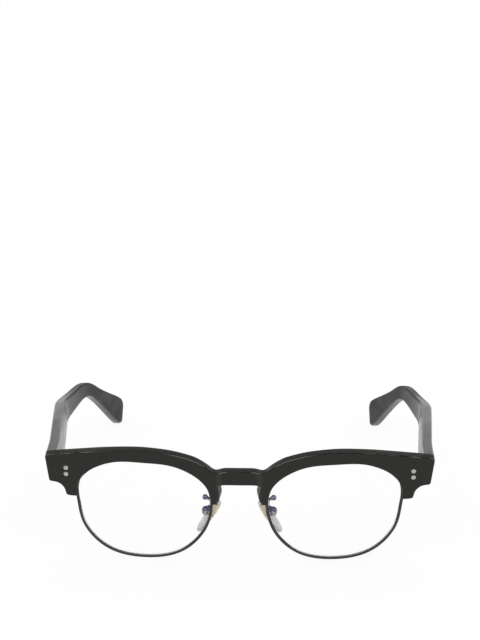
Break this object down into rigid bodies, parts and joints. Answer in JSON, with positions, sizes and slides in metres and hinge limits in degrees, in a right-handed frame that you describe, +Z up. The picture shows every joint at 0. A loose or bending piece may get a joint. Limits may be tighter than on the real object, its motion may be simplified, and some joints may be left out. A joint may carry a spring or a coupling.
{
  "type": "browline eyeglasses",
  "caption": "Browline eyeglasses with a black acetate brow, thin black metal rims round clear lenses, rocking nose pads on gold arms, and acetate temples that fold on steel hinges.",
  "frame": {"origin": "middle of the box round the standing glasses, on the surface that they stand on", "axes": "+Z up, +Y back towards the wearer, +X to the wearer's left"},
  "size_m": [0.1472, 0.1394, 0.0451],
  "materials": {
    "acetate": "polished black acetate",
    "rim_paint": "black paint on thin metal",
    "lens_clear": "clear, polished",
    "pad_silicone": "translucent silicone",
    "arm_gold": "gold-coloured metal, satin",
    "rivet_steel": "flush pin heads, satin",
    "steel": "steel, satin"
  },
  "bodies": {
    "front": {"front_brow": "acetate", "left_front_hinge_leaf": "steel", "left_hinge_screw": "steel", "left_lens": "lens_clear", "left_lower_front_rivet": "rivet_steel", "left_nose_rim_screw": "steel", "left_pad_arm": "arm_gold", "left_pad_screw": "arm_gold", "left_rim": "rim_paint", "left_rim_lock_screw": "steel", "left_side_rim_screw": "steel", "left_upper_front_rivet": "rivet_steel", "right_front_hinge_leaf": "steel", "right_hinge_screw": "steel", "right_lens": "lens_clear", "right_lower_front_rivet": "rivet_steel", "right_nose_rim_screw": "steel", "right_pad_arm": "arm_gold", "right_pad_screw": "arm_gold", "right_rim": "rim_paint", "right_rim_lock_screw": "steel", "right_side_rim_screw": "steel", "right_upper_front_rivet": "rivet_steel"},
    "left_temple_body": {"left_lower_temple_rivet": "rivet_steel", "left_temple": "acetate", "left_temple_core_wire": "steel", "left_temple_hinge_leaf": "steel", "left_upper_temple_rivet": "rivet_steel"},
    "right_temple_body": {"right_lower_temple_rivet": "rivet_steel", "right_temple": "acetate", "right_temple_core_wire": "steel", "right_temple_hinge_leaf": "steel", "right_upper_temple_rivet": "rivet_steel"},
    "left_pad_body": {"left_nose_pad": "pad_silicone"},
    "right_pad_body": {"right_nose_pad": "pad_silicone"}
  },
  "joints": [
    {"name": "left_temple_fold", "type": "hinge", "parent": "front", "child": "left_temple_body", "pos_m": [0.06583, -0.05628, 0.03473], "axis": [0.1305, -0.0529, 0.99], "range_deg": [0, 86]},
    {"name": "right_temple_fold", "type": "hinge", "parent": "front", "child": "right_temple_body", "pos_m": [-0.06583, -0.05628, 0.03473], "axis": [0.1305, 0.0529, -0.99], "range_deg": [0, 80]},
    {"name": "left_pad_rock", "type": "hinge", "parent": "front", "child": "left_pad_body", "pos_m": [0.0124, -0.06146, 0.01893], "axis": [0.1045, 0.9931, 0.0531], "range_deg": [-8, 8]},
    {"name": "right_pad_rock", "type": "hinge", "parent": "front", "child": "right_pad_body", "pos_m": [-0.0124, -0.06146, 0.01893], "axis": [-0.1045, 0.9931, 0.0531], "range_deg": [-8, 8]}
  ]
}
